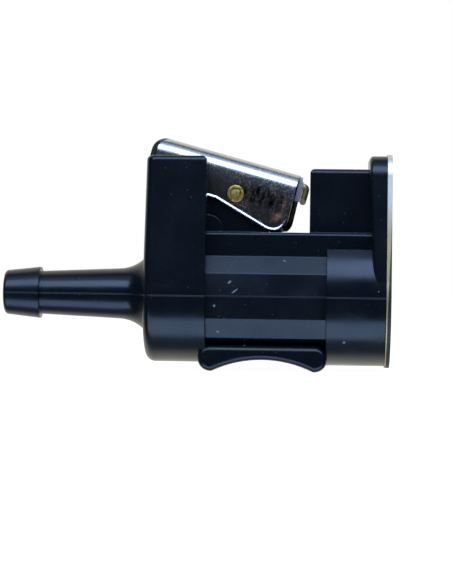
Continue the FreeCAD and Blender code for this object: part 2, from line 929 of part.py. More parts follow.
def make_lever():
    """Latch lever, pressed from one sheet: two cheeks and a top, with a tab folded down at each end."""
    sheet_metal = size("sheet")
    top = size("lever_top")
    half = size("lever_half_width")
    inside = half - sheet_metal
    front = size("cheek_front")
    back = -size("cheek_back")
    cheeks_outer = fuse(
        "cheeks_outer",
        lever_half("near", front, half, sized(0)),
        lever_half("far", size("cheek_front_far"), sized(0), half),
    )
    depth = size("cheek_front_depth") + REACH_OUT
    core = box(
        "cheeks_inside", (back - REACH_OUT, -inside, -depth),
        size("cheek_front_far") - back + REACH_OUT * 2, inside * 2, top - sheet_metal + depth,
    )

    def core_top(edge):
        low, high = reach(edge)
        return near(low[2], top - sheet_metal) and low[0] < back.value and high[0] > front.value

    soft_core = rounded("cheeks_hollow", core, size("lever_bend") - sheet_metal, core_top)
    cheeks = cut("cheeks", cheeks_outer, soft_core)
    strip = make_lever_strip()
    whole = fuse("lever_whole", cheeks, strip)
    holes = [
        rod_y("cheek_holes", size("cheek_hole_radius"), 0, -half - REACH_OUT, 0, (half + REACH_OUT) * 2),
        rod_x(
            "leg_hole", size("latch_leg_hole"), front - REACH_OUT, size("lever_nose") - front + REACH_OUT * 2,
            y=-latch_coil_half(), z=size("latch_leg_height"),
        ),
    ]
    return labelled("latch_lever", on_pivot(cut("lever", whole, *holes)))


def make_lever_strip():
    """The middle strip of the lever's sheet, with the nose tab and the tail tab bent down from it."""
    metal = size("sheet")
    top = size("lever_top")
    nose = size("lever_nose")
    tail = -size("lever_tail")
    nose_bend = size("lever_nose_bend")
    tail_bend = size("lever_tail_bend")
    strip = outline(
        "strip_profile",
        [
            (tail, size("lever_tail_tab")),
            (tail, top - tail_bend),
            (tail + tail_bend, top),
            (nose - nose_bend, top),
            (nose, top - nose_bend),
            (nose, size("lever_nose_tab")),
            (nose - metal, size("lever_nose_tab")),
            (nose - metal, top - nose_bend),
            (nose - nose_bend, top - metal),
            (tail + tail_bend, top - metal),
            (tail + metal, top - tail_bend),
            (tail + metal, size("lever_tail_tab")),
        ],
        SIDE_XZ,
        arcs={1: (tail_bend, 1), 3: (nose_bend, 1), 7: (nose_bend - metal, -1), 9: (tail_bend - metal, -1)},
    )
    half = size("tab_half_width")
    return extruded("lever_strip", strip, half, half)


def make_pin():
    """Brass pivot pin through both ears and both cheeks."""
    half = size("lever_half_width") + size("pin_proud")
    return labelled("pivot_pin", rod_y("pin", size("pin_radius"), PIVOT_X, -half, PIVOT_Z, half * 2))


def bent_wire(points, radii):
    """A path of straight runs joined by tangent arcs, one radius for each inner point."""
    edges = []
    start = points[0]
    for before, corner, after, radius in zip(points, points[1:], points[2:], radii):
        back = (before - corner).normalize()
        ahead = (after - corner).normalize()
        half_turn = (math.pi - back.getAngle(ahead)) / 2
        run = radius * math.tan(half_turn)
        first = corner + back * run
        last = corner + ahead * run
        middle_way = (back + ahead).normalize()
        middle = corner + middle_way * (radius / math.cos(half_turn) - radius)
        edges.append(Part.LineSegment(start, first).toShape())
        edges.append(Part.Arc(first, middle, last).toShape())
        start = last
    edges.append(Part.LineSegment(start, points[-1]).toShape())
    return Part.Wire(edges)


def make_latch_spring():
    """Torsion spring: a coil on the pivot pin, a front leg through the lever's nose tab and a rear leg
    that stands on the deck."""
    wire = sheet.get("latch_wire_radius")
    coil = sheet.get("latch_coil_radius")
    pitch = sheet.get("latch_coil_pitch")
    length = pitch * latch_coil_turned().value
    slope = math.radians(sheet.get("lever_slope"))
    leg_side = -latch_coil_half().value
    up = FreeCAD.Vector(0, 0, 1)
    along = FreeCAD.Vector(0, 1, 0)
    helix = Part.Wire(Part.makeHelix(pitch, length, coil, 0, True))
    section = wire_section(FreeCAD.Vector(coil, 0, 0), FreeCAD.Vector(1, 0, 0), up, wire)
    turns = helix.makePipeShell([section], True, True)
    # the helix starts on top of the coil in the lever's frame and runs backwards, its axis turned to Y
    turns.Placement = FreeCAD.Placement(
        FreeCAD.Vector(0, leg_side, 0),
        FreeCAD.Rotation(FreeCAD.Vector(0, 0, 1), FreeCAD.Vector(1, 0, 0), FreeCAD.Vector(0, 1, 0), "ZXY"),
    )
    hook = sheet.get("lever_nose") + sheet.get("latch_hook_gap") + wire
    leg = sheet.get("latch_leg_height")
    bend = sheet.get("latch_leg_bend")
    low = sheet.get("latch_hook_end")
    kink = sheet.get("cheek_front") - bend
    front_points = [
        FreeCAD.Vector(0, leg_side, coil),
        FreeCAD.Vector(bend, leg_side, coil),
        FreeCAD.Vector(kink, leg_side, leg),
        FreeCAD.Vector(hook, leg_side, leg),
        FreeCAD.Vector(hook, leg_side, low),
        FreeCAD.Vector(hook, leg_side - sheet.get("latch_hook_turn"), low),
    ]
    path = bent_wire(front_points, [bend, bend, sheet.get("latch_hook_bend"), sheet.get("latch_hook_curl")])
    front_leg = path.makePipeShell([wire_section(front_points[0], up, along, wire)], True, False)
    # the rear leg leaves the coil at its back and runs straight down to the deck
    drop = sheet.get("pivot_height") - sheet.get("deck_height") - sheet.get("latch_foot_gap")
    down = FreeCAD.Vector(math.sin(slope), 0, -math.cos(slope))
    outwards = FreeCAD.Vector(-math.cos(slope), 0, -math.sin(slope))
    rear_section = wire_section(outwards * coil - along * leg_side, outwards, along, wire)
    rear_leg = Part.Face(rear_section).extrude(down * drop)
    spring = doc.addObject("Part::Feature", "latch_wire")
    spring.Shape = turns.fuse([front_leg, rear_leg], FUSE_WITHIN)
    return labelled("latch_spring", on_pivot(spring))


valve_parts, fins_back = make_valve()
parts = [
    make_body(),
    make_plate(),
    make_screws(),
    make_collar(),
    *make_seals(),
    *valve_parts,
    make_valve_spring(fins_back),
    make_lever(),
    make_pin(),
    make_latch_spring(),
]
doc.recompute()

for obj in doc.Objects:
    if "Invalid" in obj.State or "Error" in obj.State:
        raise RuntimeError("%s failed: %s" % (obj.Name, obj.State))
for part in parts:
    if part.Shape.isNull() or not part.Shape.isValid():
        raise RuntimeError(part.Label + " has no valid shape")

os.makedirs("parts", exist_ok=True)
for part in parts:
    part.Shape.exportStep(os.path.join("parts", part.Label + ".step"))
    print(part.Label, len(part.Shape.Solids), "solid(s), volume", round(part.Shape.Volume, 1))
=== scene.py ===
import math

import bmesh
import bpy
from mathutils import Matrix, Vector


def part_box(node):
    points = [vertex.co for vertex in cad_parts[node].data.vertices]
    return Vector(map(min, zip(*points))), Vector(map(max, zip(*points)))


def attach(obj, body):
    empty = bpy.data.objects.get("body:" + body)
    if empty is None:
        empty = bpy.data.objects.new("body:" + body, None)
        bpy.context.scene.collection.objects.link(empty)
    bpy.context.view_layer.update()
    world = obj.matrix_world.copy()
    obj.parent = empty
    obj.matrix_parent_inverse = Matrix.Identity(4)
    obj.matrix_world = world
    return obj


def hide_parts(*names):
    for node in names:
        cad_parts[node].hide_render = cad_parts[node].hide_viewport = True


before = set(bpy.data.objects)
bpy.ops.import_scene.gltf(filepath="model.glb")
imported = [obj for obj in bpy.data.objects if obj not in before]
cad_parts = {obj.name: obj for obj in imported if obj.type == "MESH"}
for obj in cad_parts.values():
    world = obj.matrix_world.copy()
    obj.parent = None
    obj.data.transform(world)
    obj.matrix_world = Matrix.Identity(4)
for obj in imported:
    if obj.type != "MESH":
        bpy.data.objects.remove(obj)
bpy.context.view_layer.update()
MM = 0.001


# Studio: the connector stands on a pale floor between two soft boxes, one high and one low in front
# of it, each with a dim panel beyond. Behind it everything is white, and in front it is dark.
def linear(hex_colour):
    """An sRGB hex colour as linear RGBA."""
    channels = [int(hex_colour[i:i + 2], 16) / 255 for i in (1, 3, 5)]
    return [c / 12.92 if c <= 0.04045 else ((c + 0.055) / 1.055) ** 2.4 for c in channels] + [1.0]


def add_node(tree, kind, settings=None, inputs=None):
    """Add a node, set its properties, and set or link its inputs."""
    node = tree.nodes.new(kind)
    for name, value in (settings or {}).items():
        setattr(node, name, value)
    for name, value in (inputs or {}).items():
        socket = node.inputs[name]
        if isinstance(value, bpy.types.NodeSocket):
            tree.links.new(value, socket)
        else:
            socket.default_value = value
    return node


scene = bpy.context.scene
scene.view_settings.view_transform = "Standard"

world = bpy.data.worlds.new("white_room")
scene.world = world
world.use_nodes = True
sky = world.node_tree
sky.nodes.clear()
ray = add_node(sky, "ShaderNodeLightPath")
direction = add_node(sky, "ShaderNodeTexCoord")
across = add_node(sky, "ShaderNodeSeparateXYZ", inputs={"Vector": direction.outputs["Generated"]})
behind = add_node(
    sky, "ShaderNodeMapRange", {"interpolation_type": "SMOOTHSTEP"},
    {"Value": across.outputs["Y"], "From Min": 0.1, "From Max": 0.6, "To Min": 0.02, "To Max": 0.95},
)
dim = add_node(sky, "ShaderNodeBackground", inputs={"Color": linear("#C8D2E0"), "Strength": 0.25})
mirrored = add_node(
    sky, "ShaderNodeBackground", inputs={"Color": linear("#FFFBEA"), "Strength": behind.outputs["Result"]}
)
white = add_node(sky, "ShaderNodeBackground", inputs={"Color": linear("#FFFFFF"), "Strength": 1.0})
shiny = add_node(
    sky, "ShaderNodeMixShader",
    inputs={0: ray.outputs["Is Glossy Ray"], 1: dim.outputs[0], 2: mirrored.outputs[0]},
)
clear = add_node(
    sky, "ShaderNodeMixShader",
    inputs={0: ray.outputs["Is Transmission Ray"], 1: shiny.outputs[0], 2: white.outputs[0]},
)
seen = add_node(
    sky, "ShaderNodeMixShader",
    inputs={0: ray.outputs["Is Camera Ray"], 1: clear.outputs[0], 2: white.outputs[0]},
)
add_node(sky, "ShaderNodeOutputWorld", inputs={"Surface": seen.outputs[0]})

middle = Vector((-40, 0, 5)) * MM
lamp_distance = 0.5
lamp_width = 0.9
for name, lift, height, power in (
    ("softbox_high", 48, 0.28, 3.8), ("panel_high", 77, 0.22, 0.42),
    ("softbox_low", -57, 0.30, 2.4), ("panel_low", -86, 0.2, 0.12),
):
    lamp = bpy.data.lights.new(name, "AREA")
    lamp.shape = "RECTANGLE"
    lamp.size = lamp_width
    lamp.size_y = height
    lamp.energy = power
    lamp.color = linear("#D7EAFF")[:3]
    holder = bpy.data.objects.new(name, lamp)
    scene.collection.objects.link(holder)
    angle = math.radians(lift)
    aim = Vector((0, -math.cos(angle), math.sin(angle)))
    holder.location = middle + aim * lamp_distance
    holder.rotation_euler = aim.to_track_quat("Z", "Y").to_euler()
    holder.visible_camera = False

floor_width = 2.4
floor_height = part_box("connector_body")[0].z
bpy.ops.object.select_all(action="DESELECT")
bpy.ops.mesh.primitive_plane_add(size=floor_width, location=(middle.x, 0, floor_height))
floor = bpy.context.object
floor.name = "floor"
floor.visible_glossy = False
floor.visible_shadow = False
paper = bpy.data.materials.new("white_paper_floor")
paper.use_nodes = True
tree = paper.node_tree
tree.nodes.clear()
ray = add_node(tree, "ShaderNodeLightPath")
matt = add_node(tree, "ShaderNodeBsdfDiffuse", inputs={"Color": linear("#F4F4F2")})
shadow = add_node(tree, "ShaderNodeBsdfDiffuse", inputs={"Color": linear("#8C8C8C")})
glow = add_node(tree, "ShaderNodeEmission", inputs={"Color": linear("#FFFFFF"), "Strength": 0.97})
bright = add_node(tree, "ShaderNodeAddShader", inputs={0: shadow.outputs[0], 1: glow.outputs[0]})
mix = add_node(
    tree, "ShaderNodeMixShader",
    inputs={0: ray.outputs["Is Camera Ray"], 1: matt.outputs[0], 2: bright.outputs[0]},
)
add_node(tree, "ShaderNodeOutputMaterial", inputs={"Surface": mix.outputs[0]})
floor.data.materials.append(paper)


# Camera: a long lens looks almost square at the near side, turned a little, with the frame leaning
# slightly clockwise as in the photograph. The picture's off-centre framing is kept by the shift.
image_width, image_height = 452, 584
distance = 0.45
turn, tilt, lean = [math.radians(v) for v in (3.5, 0.5, 0.72)]
pixels_per_mm = 4.74
centre = Vector((-40.0, 0.0, 6.4)) * MM
centre_pixel = (194.8, 264.1)
right = Vector((math.cos(turn), math.sin(turn), 0))
ahead = Vector((-math.sin(turn) * math.cos(tilt), math.cos(turn) * math.cos(tilt), -math.sin(tilt)))
up = right.cross(ahead)
rolled_right = right * math.cos(lean) + up * math.sin(lean)
rolled_up = up * math.cos(lean) - right * math.sin(lean)
camera_data = bpy.data.cameras.new("camera")
camera_data.lens = pixels_per_mm * distance / MM * camera_data.sensor_width / image_height
camera_data.shift_x = (image_width / 2 - centre_pixel[0]) / image_height
camera_data.shift_y = (centre_pixel[1] - image_height / 2) / image_height
camera_data.clip_start = 0.01
camera = bpy.data.objects.new("camera", camera_data)
scene.collection.objects.link(camera)
camera.matrix_world = Matrix.Translation(centre - ahead * distance) @ Matrix(
    (rolled_right, rolled_up, -ahead)
).transposed().to_4x4()
scene.camera = camera


# Moulded body: one piece of glass-filled nylon, injection moulded in two mould halves that meet at the
# height of the fuel axis. It leaves the mould satin black, with a fine seam there, and is scuffed by use.
def new_material(name):
    """An empty node material, its tree and its Object coordinates."""
    made = bpy.data.materials.new(name)
    made.use_nodes = True
    made.node_tree.nodes.clear()
    place = add_node(made.node_tree, "ShaderNodeTexCoord").outputs["Object"]
    return made, made.node_tree, place


def dress(material, *nodes):
    """Give CAD nodes a material through their slots."""
    for node in nodes:
        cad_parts[node].data.materials.clear()
        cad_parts[node].data.materials.append(material)


def from_oval(tree, place, middle_x, middle_z, reach_x, reach_z, turned=0.0):
    """How far a point is from an oval's middle, seen along Y: 1 at its rim. Its sizes are in millimetres."""
    on_oval = add_node(
        tree, "ShaderNodeMapping", {"vector_type": "TEXTURE"},
        {
            "Vector": place, "Location": (middle_x * MM, 0, middle_z * MM),
            "Rotation": (0, math.radians(turned), 0), "Scale": (reach_x * MM, 1.0, reach_z * MM),
        },
    )
    reached = add_node(tree, "ShaderNodeVectorMath", {"operation": "LENGTH"}, {0: on_oval.outputs[0]})
    return reached.outputs["Value"]


# Black glass-filled nylon: satin and slightly uneven in gloss, with a faint ripple of glass fibres
nylon, tree, place = new_material("black_glass_filled_nylon")
fibres = add_node(
    tree, "ShaderNodeTexNoise", inputs={"Vector": place, "Scale": 1 / (0.45 * MM), "Detail": 3.0}
)
flow = add_node(tree, "ShaderNodeTexNoise", inputs={"Vector": place, "Scale": 1 / (7 * MM), "Detail": 4.0})
gloss = add_node(
    tree, "ShaderNodeMapRange",
    inputs={"Value": flow.outputs["Fac"], "From Min": 0.3, "From Max": 0.7, "To Min": 0.2, "To Max": 0.3},
)
height = add_node(tree, "ShaderNodeSeparateXYZ", inputs={"Vector": place})
off_seam = add_node(tree, "ShaderNodeMath", {"operation": "ABSOLUTE"}, {0: height.outputs["Z"]})
seam = add_node(
    tree, "ShaderNodeMapRange", {"interpolation_type": "SMOOTHSTEP"},
    {
        "Value": off_seam.outputs[0], "From Min": 0.05 * MM, "From Max": 0.16 * MM,
        "To Min": 1.0, "To Max": 0.0,
    },
)
soft = add_node(tree, "ShaderNodeBevel", {"samples": 6}, {"Radius": 0.3 * MM})
ridge = add_node(
    tree, "ShaderNodeBump",
    inputs={
        "Height": seam.outputs["Result"], "Strength": 0.8, "Distance": 0.08 * MM,
        "Normal": soft.outputs["Normal"],
    },
)
rough = add_node(
    tree, "ShaderNodeBump",
    inputs={
        "Height": fibres.outputs["Fac"], "Strength": 0.3, "Distance": 0.02 * MM,
        "Normal": ridge.outputs["Normal"],
    },
)
dust = add_node(
    tree, "ShaderNodeTexVoronoi", {"feature": "F1"}, {"Vector": place, "Scale": 1 / (1.6 * MM)}
)
pale = add_node(
    tree, "ShaderNodeMapRange",
    inputs={
        "Value": dust.outputs["Distance"], "From Min": 0.03, "From Max": 0.08,
        "To Min": 0.35, "To Max": 0.0,
    },
).outputs["Result"]
# nicks in the skin, each a short pale mark with its place and its reach in x and z, in millimetres, and
# a slant in degrees that follows its place along the body
slant_per_mm = 7
for along, high, reach_x, reach_z in (
    (-32.1, 2.9, 0.5, 0.25), (-31.0, 1.1, 0.9, 0.16), (-35.2, -2.0, 0.3, 0.3), (-34.5, -7.4, 0.25, 0.4),
    (-20.9, 7.4, 0.4, 0.12), (-8.5, -9.2, 0.35, 0.3), (-1.6, 1.4, 0.14, 0.12), (-29.0, -10.2, 0.25, 0.12),
):
    off_nick = from_oval(tree, place, along, high, reach_x, reach_z, along * slant_per_mm)
    nick = add_node(
        tree, "ShaderNodeMapRange", {"interpolation_type": "SMOOTHSTEP"},
        {"Value": off_nick, "From Min": 0.6, "From Max": 1.0, "To Min": 1.0, "To Max": 0.0},
    )
    pale = add_node(
        tree, "ShaderNodeMath", {"operation": "MAXIMUM"}, {0: pale, 1: nick.outputs["Result"]}
    ).outputs[0]
colour = add_node(
    tree, "ShaderNodeMix", {"data_type": "RGBA"},
    {"Factor": pale, "A": linear("#070C13"), "B": linear("#66717F")},
)
plastic = add_node(
    tree, "ShaderNodeBsdfPrincipled",
    inputs={
        "Base Color": colour.outputs["Result"], "Roughness": gloss.outputs["Result"], "IOR": 1.5,
        "Specular Tint": linear("#C8DDFF"), "Normal": rough.outputs["Normal"],
    },
)
add_node(tree, "ShaderNodeOutputMaterial", inputs={"Surface": plastic.outputs[0]})
dress(nylon, "connector_body")


# Face plate: blanked from 1 mm steel sheet and zinc plated, so it is silver with a slightly brushed
# skin that has yellowed on its rim. Three countersunk screws of the same finish hold it to the flange.
zinc, tree, place = new_material("zinc_plated_steel")
brush_marks = (1 / (0.2 * MM), 1 / (0.25 * MM), 1 / (6 * MM))
stretch = add_node(tree, "ShaderNodeMapping", inputs={"Vector": place, "Scale": brush_marks})
lines = add_node(
    tree, "ShaderNodeTexNoise", inputs={"Vector": stretch.outputs[0], "Scale": 1.0, "Detail": 2.0}
)
reach = add_node(tree, "ShaderNodeSeparateXYZ", inputs={"Vector": place})
yellowed = add_node(
    tree, "ShaderNodeMapRange",
    inputs={
        "Value": reach.outputs["Z"], "From Min": 13 * MM, "From Max": 20 * MM, "To Min": 1.0, "To Max": 0.0,
    },
)
normal = add_node(tree, "ShaderNodeTexCoord").outputs["Normal"]
facing = add_node(tree, "ShaderNodeSeparateXYZ", inputs={"Vector": normal})
on_rim = add_node(
    tree, "ShaderNodeMapRange",
    inputs={"Value": facing.outputs["X"], "From Min": 0.6, "From Max": 0.9, "To Min": 1.0, "To Max": 0.0},
)
yellow_rim = add_node(
    tree, "ShaderNodeMath", {"operation": "MULTIPLY"},
    {0: yellowed.outputs["Result"], 1: on_rim.outputs["Result"]},
)
tint = add_node(
    tree, "ShaderNodeMix", {"data_type": "RGBA"},
    {"Factor": yellow_rim.outputs[0], "A": linear("#E4E4E6"), "B": linear("#C8BB9C")},
)
gloss = add_node(
    tree, "ShaderNodeMapRange",
    inputs={"Value": lines.outputs["Fac"], "From Min": 0.3, "From Max": 0.7, "To Min": 0.45, "To Max": 0.6},
)
soft = add_node(tree, "ShaderNodeBevel", {"samples": 6}, {"Radius": 0.15 * MM})
brushed = add_node(
    tree, "ShaderNodeBump",
    inputs={
        "Height": lines.outputs["Fac"], "Strength": 0.2, "Distance": 0.02 * MM,
        "Normal": soft.outputs["Normal"],
    },
)
metal = add_node(
    tree, "ShaderNodeBsdfPrincipled",
    inputs={
        "Base Color": tint.outputs["Result"], "Metallic": 1.0, "Roughness": gloss.outputs["Result"],
        "Normal": brushed.outputs["Normal"],
    },
)
# a black band: from the plate's upper third down, its rim is black from the front back, over more of the rim
# the lower it gets
limit = add_node(
    tree, "ShaderNodeMapRange",
    inputs={
        "Value": reach.outputs["Z"], "From Min": -4 * MM, "From Max": 19 * MM,
        "To Min": 0.2 * MM, "To Max": 1.1 * MM,
    },
)
beyond = add_node(
    tree, "ShaderNodeMath", {"operation": "SUBTRACT"}, {0: reach.outputs["X"], 1: limit.outputs["Result"]}
)
band_amount = add_node(
    tree, "ShaderNodeMapRange", {"interpolation_type": "SMOOTHSTEP"},
    {
        "Value": beyond.outputs[0], "From Min": -0.06 * MM, "From Max": 0.08 * MM,
        "To Min": 0.0, "To Max": 0.97,
    },
)
black = add_node(
    tree, "ShaderNodeMath", {"operation": "MULTIPLY"},
    {0: band_amount.outputs["Result"], 1: on_rim.outputs["Result"]},
)
black_band = add_node(
    tree, "ShaderNodeBsdfPrincipled",
    inputs={
        "Base Color": linear("#0E0F0D"), "Roughness": 0.6, "IOR": 1.47, "Normal": soft.outputs["Normal"],
    },
)
skin = add_node(
    tree, "ShaderNodeMixShader", inputs={0: black.outputs[0], 1: metal.outputs[0], 2: black_band.outputs[0]}
)
add_node(tree, "ShaderNodeOutputMaterial", inputs={"Surface": skin.outputs[0]})
dress(zinc, "front_plate", "plate_screws")


# Seal collar and valve: turned from acetal, which is smooth, a little waxy and dark grey. The collar is
# pressed into the drum, and the valve slides behind it.
acetal, tree, place = new_material("dark_acetal")
swirl = add_node(tree, "ShaderNodeTexNoise", inputs={"Vector": place, "Scale": 1 / (2 * MM), "Detail": 2.0})
shade = add_node(
    tree, "ShaderNodeMix", {"data_type": "RGBA"},
    {"Factor": swirl.outputs["Fac"], "A": linear("#24272B"), "B": linear("#33373C")},
)
soft = add_node(tree, "ShaderNodeBevel", {"samples": 6}, {"Radius": 0.15 * MM})
waxy = add_node(
    tree, "ShaderNodeBsdfPrincipled",
    inputs={
        "Base Color": shade.outputs["Result"], "Roughness": 0.38, "IOR": 1.48,
        "Normal": soft.outputs["Normal"],
    },
)
add_node(tree, "ShaderNodeOutputMaterial", inputs={"Surface": waxy.outputs[0]})
dress(acetal, "seal_collar", "valve_plunger")


# Seals: three rings moulded from nitrile rubber, matt black with a slight bloom on the skin. Two sit in
# the drum, round the stem and the collar, and the third rides on the valve.
nitrile, tree, place = new_material("nitrile_rubber")
bloom = add_node(
    tree, "ShaderNodeTexNoise", inputs={"Vector": place, "Scale": 1 / (0.8 * MM), "Detail": 3.0}
)
shade = add_node(
    tree, "ShaderNodeMix", {"data_type": "RGBA"},
    {"Factor": bloom.outputs["Fac"], "A": linear("#121212"), "B": linear("#242423")},
)
rubber = add_node(
    tree, "ShaderNodeBsdfPrincipled",
    inputs={"Base Color": shade.outputs["Result"], "Roughness": 0.62, "IOR": 1.52},
)
add_node(tree, "ShaderNodeOutputMaterial", inputs={"Surface": rubber.outputs[0]})
dress(nitrile, "stem_seal", "collar_seal", "valve_seal")


# Valve spring: wound from stainless wire, bright with fine drawing marks. It stands in the chamber
# behind the valve and presses it shut.
stainless, tree, place = new_material("stainless_spring_wire")
drawn = add_node(
    tree, "ShaderNodeTexNoise", inputs={"Vector": place, "Scale": 1 / (0.3 * MM), "Detail": 2.0}
)
gloss = add_node(
    tree, "ShaderNodeMapRange",
    inputs={"Value": drawn.outputs["Fac"], "From Min": 0.3, "From Max": 0.7, "To Min": 0.2, "To Max": 0.34},
)
metal = add_node(
    tree, "ShaderNodeBsdfPrincipled",
    inputs={"Base Color": linear("#C4C3BE"), "Metallic": 1.0, "Roughness": gloss.outputs["Result"]},
)
add_node(tree, "ShaderNodeOutputMaterial", inputs={"Surface": metal.outputs[0]})
dress(stainless, "valve_spring")


# Latch lever: pressed from one strip of bright plated steel. Its cheeks and its two end tabs are bent
# down from the top, with open corners between them, and its cut edges are rounded by tumbling.
def pick(kind, wanted):
    """In edit mode, select only those faces, edges or vertices of the active mesh that pass the test."""
    bpy.ops.mesh.select_mode(type=kind)
    bpy.ops.mesh.select_all(action="DESELECT")
    shape = bmesh.from_edit_mesh(bpy.context.object.data)
    for item in {"FACE": shape.faces, "EDGE": shape.edges, "VERT": shape.verts}[kind]:
        if wanted(item):
            item.select_set(True)
    shape.select_flush_mode()
    bmesh.update_edit_mesh(bpy.context.object.data)


def at(value, wanted):
    """Whether a coordinate lies at a wanted place, to a fiftieth of a millimetre."""
    return abs(value - wanted) < 0.02 * MM


def spot(item):
    """The middle of a face or an edge."""
    return sum((vert.co for vert in item.verts), Vector()) / len(item.verts)


def settle(piece, destination, turned_down):
    """Move a piece that was modelled about the pivot to its place, and leave its object at the origin."""
    bpy.ops.object.select_all(action="DESELECT")
    piece.select_set(True)
    bpy.context.view_layer.objects.active = piece
    piece.rotation_euler = (0, turned_down, 0)
    piece.location = destination
    bpy.ops.object.transform_apply(location=True, rotation=True, scale=True)


# its sizes, measured from the pivot before the slope, with x towards the nose and z up
pivot_place = Vector((-31.3, 0, 21.2)) * MM
slope = math.radians(15.2)
half = 6.75 * MM
top = 7.3 * MM
bend, bend_steps = 3.3 * MM, 12
flat = half - bend
front, front_far, back = 11.7 * MM, 12.6 * MM, -18.2 * MM
shallow, deep, deep_far = -1.9 * MM, -6.2 * MM, -6.5 * MM
slope_start = -3.8 * MM
chin, chin_steps = 4.2 * MM, 8
curl, curl_cuts = 2.6 * MM, 5
lip, lip_depth = 0.38 * MM, 0.15 * MM
nose, nose_bend, nose_low = 13.0 * MM, 2.0 * MM, 2.05 * MM
tail, tail_bend, tail_low = -19.6 * MM, 3.0 * MM, 1.0 * MM
tab_steps = 8
sheet = 1.0 * MM
pin_hole = 1.95 * MM
leg_hole, leg_side, leg_height = 0.78 * MM, -2.337 * MM, 5.3 * MM
edge_round = 0.15 * MM

# a box divided where the cheeks begin to deepen, its front end drawn down, the far cheek a little more
bpy.ops.object.select_all(action="DESELECT")
bpy.ops.mesh.primitive_cube_add(
    size=1, location=((front + back) / 2, 0, (top + shallow) / 2),
    scale=(front - back, half * 2, top - shallow),
)
lever = bpy.context.object
lever.name = "pressed_lever"
bpy.ops.object.transform_apply(location=True, rotation=True, scale=True)
bpy.ops.object.mode_set(mode="EDIT")
bpy.ops.mesh.select_all(action="SELECT")
bpy.ops.mesh.bisect(plane_co=(slope_start, 0, 0), plane_no=(1, 0, 0))
pick("VERT", lambda vert: at(vert.co.x, front) and at(vert.co.z, shallow))
bpy.ops.transform.translate(value=(0, 0, deep - shallow))
pick("VERT", lambda vert: at(vert.co.x, front) and vert.co.y > 0)
bpy.ops.transform.translate(value=(front_far - front, 0, 0))
pick("VERT", lambda vert: at(vert.co.z, deep) and vert.co.y > 0)
bpy.ops.transform.translate(value=(0, 0, deep_far - deep))

# the chin and both long top edges are rounded, and the box is opened below, in front and behind
pick("EDGE", lambda edge: spot(edge).z < deep + 0.1 * MM and abs(spot(edge).y) < half / 2)
bpy.ops.mesh.bevel(offset=chin, offset_type="OFFSET", segments=chin_steps, affect="EDGES")
pick("EDGE", lambda edge: at(spot(edge).z, top) and at(abs(spot(edge).y), half))
bpy.ops.mesh.bevel(offset=bend, offset_type="OFFSET", segments=bend_steps, affect="EDGES")
pick("FACE", lambda face: abs(face.normal.y) < 0.05 and face.normal.z < 0.99)
bpy.ops.mesh.delete(type="FACE")

# the back upper corner curls down, in straight cuts about one middle
curl_middle = Vector((back + curl, 0, top - curl))
for step in range(1, curl_cuts + 1):
    angle = math.radians(90 * step / (curl_cuts + 1))
    outward = Vector((-math.cos(angle), 0, math.sin(angle)))
    bpy.ops.mesh.select_all(action="SELECT")
    bpy.ops.mesh.bisect(plane_co=curl_middle + outward * curl, plane_no=outward, clear_outer=True)

# a shallow groove pressed along each cheek's rim leaves a lip there, but none under the bend
for side in (-1, 1):
    pick("FACE", lambda face: face.normal.y * side > 0.999)
    bpy.ops.mesh.inset(thickness=lip, use_boundary=True)
    bpy.ops.transform.translate(value=(0, -side * lip_depth, 0))
    bpy.ops.mesh.inset(thickness=lip, use_boundary=True)
    bpy.ops.transform.translate(value=(0, side * lip_depth, 0))
    pick("VERT", lambda vert: at(vert.co.z, top - bend - lip) and at(vert.co.y, side * (half - lip_depth)))
    bpy.ops.transform.translate(value=(0, side * lip_depth, 0))

# the flat top is cut off at both ends, and from there a tab runs on and is folded down
for place_x in (nose - nose_bend, back + curl):
    bpy.ops.mesh.select_all(action="SELECT")
    bpy.ops.mesh.bisect(plane_co=(place_x, 0, 0), plane_no=(1, 0, 0))
pick(
    "FACE",
    lambda face: abs(spot(face).y) < flat - 0.2 * MM
    and not back + curl < spot(face).x < nose - nose_bend,
)
bpy.ops.mesh.delete(type="FACE")
for edge_x, bend_x, radius, low, way in (
    (nose - nose_bend, nose - nose_bend, nose_bend, nose_low, 1),
    (back + curl, tail + tail_bend, tail_bend, tail_low, -1),
):
    pick(
        "EDGE",
        lambda edge: at(spot(edge).x, edge_x) and at(spot(edge).z, top) and abs(spot(edge).y) < flat,
    )
    if bend_x < edge_x:
        bpy.ops.mesh.extrude_region_move(TRANSFORM_OT_translate={"value": (bend_x - edge_x, 0, 0)})
    bpy.ops.mesh.spin(
        steps=tab_steps, angle=math.radians(-90) * way, center=(bend_x, 0, top - radius), axis=(0, 1, 0)
    )
    bpy.ops.mesh.extrude_region_move(TRANSFORM_OT_translate={"value": (0, 0, low - top + radius)})
bpy.ops.mesh.select_all(action="SELECT")
bpy.ops.mesh.remove_doubles(threshold=0.01 * MM)
bpy.ops.mesh.normals_make_consistent(inside=False)
bpy.ops.object.mode_set(mode="OBJECT")

# the sheet's thickness goes inwards, and its holes are punched for the pin and the spring's front leg
wall = lever.modifiers.new("sheet", "SOLIDIFY")
wall.thickness = sheet
wall.offset = -1.0
wall.use_even_offset = True
bpy.ops.object.modifier_apply(modifier=wall.name)
for radius, depth, location, rotation in (
    (pin_hole, half * 3, (0, 0, 0), (math.radians(90), 0, 0)),
    (leg_hole, sheet * 4, (nose, leg_side, leg_height), (0, math.radians(90), 0)),
):
    bpy.ops.object.select_all(action="DESELECT")
    bpy.ops.mesh.primitive_cylinder_add(
        vertices=40, radius=radius, depth=depth, location=location, rotation=rotation
    )
    punch = bpy.context.object
    bpy.context.view_layer.objects.active = lever
    punched = lever.modifiers.new("punched", "BOOLEAN")
    punched.operation = "DIFFERENCE"
    punched.solver = "EXACT"
    punched.object = punch
    bpy.ops.object.modifier_apply(modifier=punched.name)
    bpy.data.objects.remove(punch)

